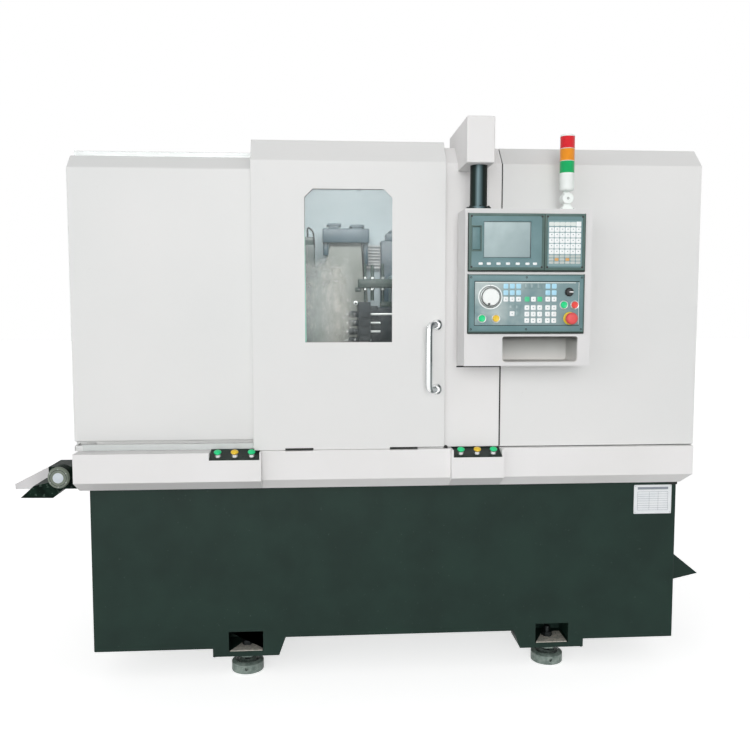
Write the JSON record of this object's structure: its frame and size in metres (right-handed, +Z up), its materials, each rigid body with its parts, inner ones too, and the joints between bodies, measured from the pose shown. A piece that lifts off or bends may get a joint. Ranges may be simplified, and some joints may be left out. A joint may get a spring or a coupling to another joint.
{
  "type": "cnc lathe",
  "caption": "Floor-standing, fully enclosed CNC lathe: welded base on levelling feet, sliding door with window, swivelling control pendant, signal tower and side parts tray.",
  "frame": {"origin": "middle of the bounding box's footprint, on the floor", "axes": "+Z up, +X to the operator's right along the spindle, +Y from the operator's side to the back"},
  "size_m": [2.635, 1.448, 1.964],
  "materials": {
    "green_paint": "satin enamel, sprayed over filled and ground plate",
    "white_paint": "powder-coated sheet steel, slightly textured",
    "grey_white_paint": "powder-coated sheet steel",
    "light_grey_paint": "powder-coated sheet steel",
    "dark_green_paint": "satin enamel",
    "zinc_steel": "zinc-plated screws and nuts",
    "cast_pad": "turned iron pad",
    "silver_bezel": "plated collars",
    "green_button": "moulded cap",
    "yellow_button": "moulded cap",
    "red_button": "moulded cap",
    "window_glass": "laminated safety window",
    "chrome_bar": "chromed tube",
    "ground_steel": "ground guide steel",
    "black_steel": "black enamel",
    "black_tube": "gloss enamel",
    "box_paint": "powder-coated sheet steel",
    "panel_grey": "textured grey-green enamel",
    "lcd_screen": "matt cover over the display",
    "key_white": "printed membrane keys",
    "dial_white": "moulded dial with a machined rim",
    "key_switch_black": "moulded",
    "estop_red": "moulded cap",
    "estop_yellow": "moulded collar",
    "tower_white": "moulded housing",
    "lens_red": "clear coloured lens",
    "lens_amber": "clear coloured lens",
    "lens_green": "clear coloured lens",
    "bare_sheet": "folded galvanised sheet",
    "motor_paint": "grey-green enamel",
    "cast_machine": "enamelled iron casting",
    "cast_head": "blue-grey enamelled iron casting",
    "spindle_steel": "turned and ground steel",
    "slide_steel": "scraped and oiled iron",
    "tool_steel": "ground tool steel",
    "tool_block_black": "blackened steel",
    "manifold_green": "enamelled block with steel pipes"
  },
  "bodies": {
    "machine": {"base_frame": "green_paint", "foot_brackets": "green_paint", "leveling_screws": "zinc_steel", "leveling_pads": "cast_pad", "drip_tray": "grey_white_paint", "button_plates": "dark_green_paint", "button_collars": "silver_bezel", "left_cover": "white_paint", "column_cover": "grey_white_paint", "right_cover": "white_paint", "cabin_roof": "light_grey_paint", "door_rails": "ground_steel", "overhead_arm": "grey_white_paint", "parts_tray": "bare_sheet", "gear_motor": "motor_paint", "conveyor_frame": "dark_green_paint", "machine_bed": "cast_machine", "headstock": "cast_head", "spindle_motor": "black_steel", "linear_rails": "ground_steel", "coolant_tank": "dark_green_paint"},
    "door": {"door_panel": "white_paint", "door_window": "window_glass", "door_handle": "chrome_bar", "door_carriages": "black_steel"},
    "pendant": {"pendant_tube": "black_tube", "control_box": "box_paint", "display_panel": "panel_grey", "display_screen": "lcd_screen", "keyboard_panel": "panel_grey", "panel_keys": "key_white", "operator_panel": "panel_grey", "push_collars": "silver_bezel", "estop_collar": "estop_yellow", "tower_bracket": "tower_white"},
    "card_door": {"card_door": "panel_grey"},
    "handwheel": {"handwheel": "dial_white"},
    "start_button": {"start_button": "green_button"},
    "hold_button": {"hold_button": "yellow_button"},
    "power_on_button": {"power_on_button": "green_button"},
    "power_off_button": {"power_off_button": "red_button"},
    "key_switch": {"key_switch": "key_switch_black"},
    "estop_button": {"estop_button": "estop_red"},
    "signal_tower": {"tower_body": "tower_white", "red_lens": "lens_red", "amber_lens": "lens_amber", "green_lens": "lens_green"},
    "cabinet_door": {"cabinet_door": "light_grey_paint"},
    "spindle": {"spindle": "spindle_steel"},
    "z_slide": {"z_slide": "slide_steel"},
    "x_slide": {"x_slide": "slide_steel", "tool_block": "tool_block_black", "tool_holders": "tool_steel", "coolant_manifold": "manifold_green"},
    "left_button_1": {"left_button_1": "green_button"},
    "left_button_2": {"left_button_2": "yellow_button"},
    "left_button_3": {"left_button_3": "green_button"},
    "right_button_1": {"right_button_1": "green_button"},
    "right_button_2": {"right_button_2": "yellow_button"},
    "right_button_3": {"right_button_3": "green_button"}
  },
  "joints": [
    {"name": "door_slide", "type": "slide", "parent": "machine", "child": "door", "axis": [-1, 0, 0], "range_m": [0, 0.6]},
    {"name": "pendant_swivel", "type": "hinge", "parent": "machine", "child": "pendant", "pos_m": [0.3635, -0.631, 1.668], "axis": [0, 0, 1], "range_deg": [-90, 0]},
    {"name": "card_door_hinge", "type": "hinge", "parent": "pendant", "child": "card_door", "pos_m": [0.3338, -0.6867, 1.5695], "axis": [0, 0, 1], "range_deg": [-100, 0]},
    {"name": "handwheel_turn", "type": "hinge", "parent": "pendant", "child": "handwheel", "pos_m": [0.3955, -0.688, 1.377], "axis": [0, 1, 0], "continuous": true},
    {"name": "key_switch_turn", "type": "hinge", "parent": "pendant", "child": "key_switch", "pos_m": [0.6615, -0.688, 1.394], "axis": [0, 1, 0], "range_deg": [0, 60]},
    {"name": "tower_tilt", "type": "hinge", "parent": "pendant", "child": "signal_tower", "pos_m": [0.6685, -0.616, 1.71], "axis": [0, 1, 0], "range_deg": [-90, 90]},
    {"name": "cabinet_hinge", "type": "hinge", "parent": "machine", "child": "cabinet_door", "pos_m": [1.1475, 0.693, 1.337], "axis": [0, 0, 1], "range_deg": [-110, 0]},
    {"name": "spindle_spin", "type": "hinge", "parent": "machine", "child": "spindle", "pos_m": [-0.2025, -0.066, 1.283], "axis": [1, 0, 0], "continuous": true},
    {"name": "z_travel", "type": "slide", "parent": "machine", "child": "z_slide", "axis": [1, 0, 0], "range_m": [-0.05, 0.2]},
    {"name": "x_travel", "type": "slide", "parent": "z_slide", "child": "x_slide", "axis": [0, 1, 0], "range_m": [0, 0.15]},
    {"name": "estop_press", "type": "slide", "parent": "pendant", "child": "estop_button", "axis": [0, 1, 0], "range_m": [0, 0.006]},
    {"name": "start_press", "type": "slide", "parent": "pendant", "child": "start_button", "axis": [0, 1, 0], "range_m": [0, 0.003], "stiffness_N_per_m": 800},
    {"name": "hold_press", "type": "slide", "parent": "pendant", "child": "hold_button", "axis": [0, 1, 0], "range_m": [0, 0.003], "stiffness_N_per_m": 800},
    {"name": "power_on_press", "type": "slide", "parent": "pendant", "child": "power_on_button", "axis": [0, 1, 0], "range_m": [0, 0.003], "stiffness_N_per_m": 800},
    {"name": "power_off_press", "type": "slide", "parent": "pendant", "child": "power_off_button", "axis": [0, 1, 0], "range_m": [0, 0.003], "stiffness_N_per_m": 800},
    {"name": "left_button_1_press", "type": "slide", "parent": "machine", "child": "left_button_1", "axis": [0, 0.3571, -0.9341], "range_m": [0, 0.004], "stiffness_N_per_m": 900},
    {"name": "left_button_2_press", "type": "slide", "parent": "machine", "child": "left_button_2", "axis": [0, 0.3571, -0.9341], "range_m": [0, 0.004], "stiffness_N_per_m": 900},
    {"name": "left_button_3_press", "type": "slide", "parent": "machine", "child": "left_button_3", "axis": [0, 0.3571, -0.9341], "range_m": [0, 0.004], "stiffness_N_per_m": 900},
    {"name": "right_button_1_press", "type": "slide", "parent": "machine", "child": "right_button_1", "axis": [0, 0.3571, -0.9341], "range_m": [0, 0.004], "stiffness_N_per_m": 900},
    {"name": "right_button_2_press", "type": "slide", "parent": "machine", "child": "right_button_2", "axis": [0, 0.3571, -0.9341], "range_m": [0, 0.004], "stiffness_N_per_m": 900},
    {"name": "right_button_3_press", "type": "slide", "parent": "machine", "child": "right_button_3", "axis": [0, 0.3571, -0.9341], "range_m": [0, 0.004], "stiffness_N_per_m": 900}
  ]
}
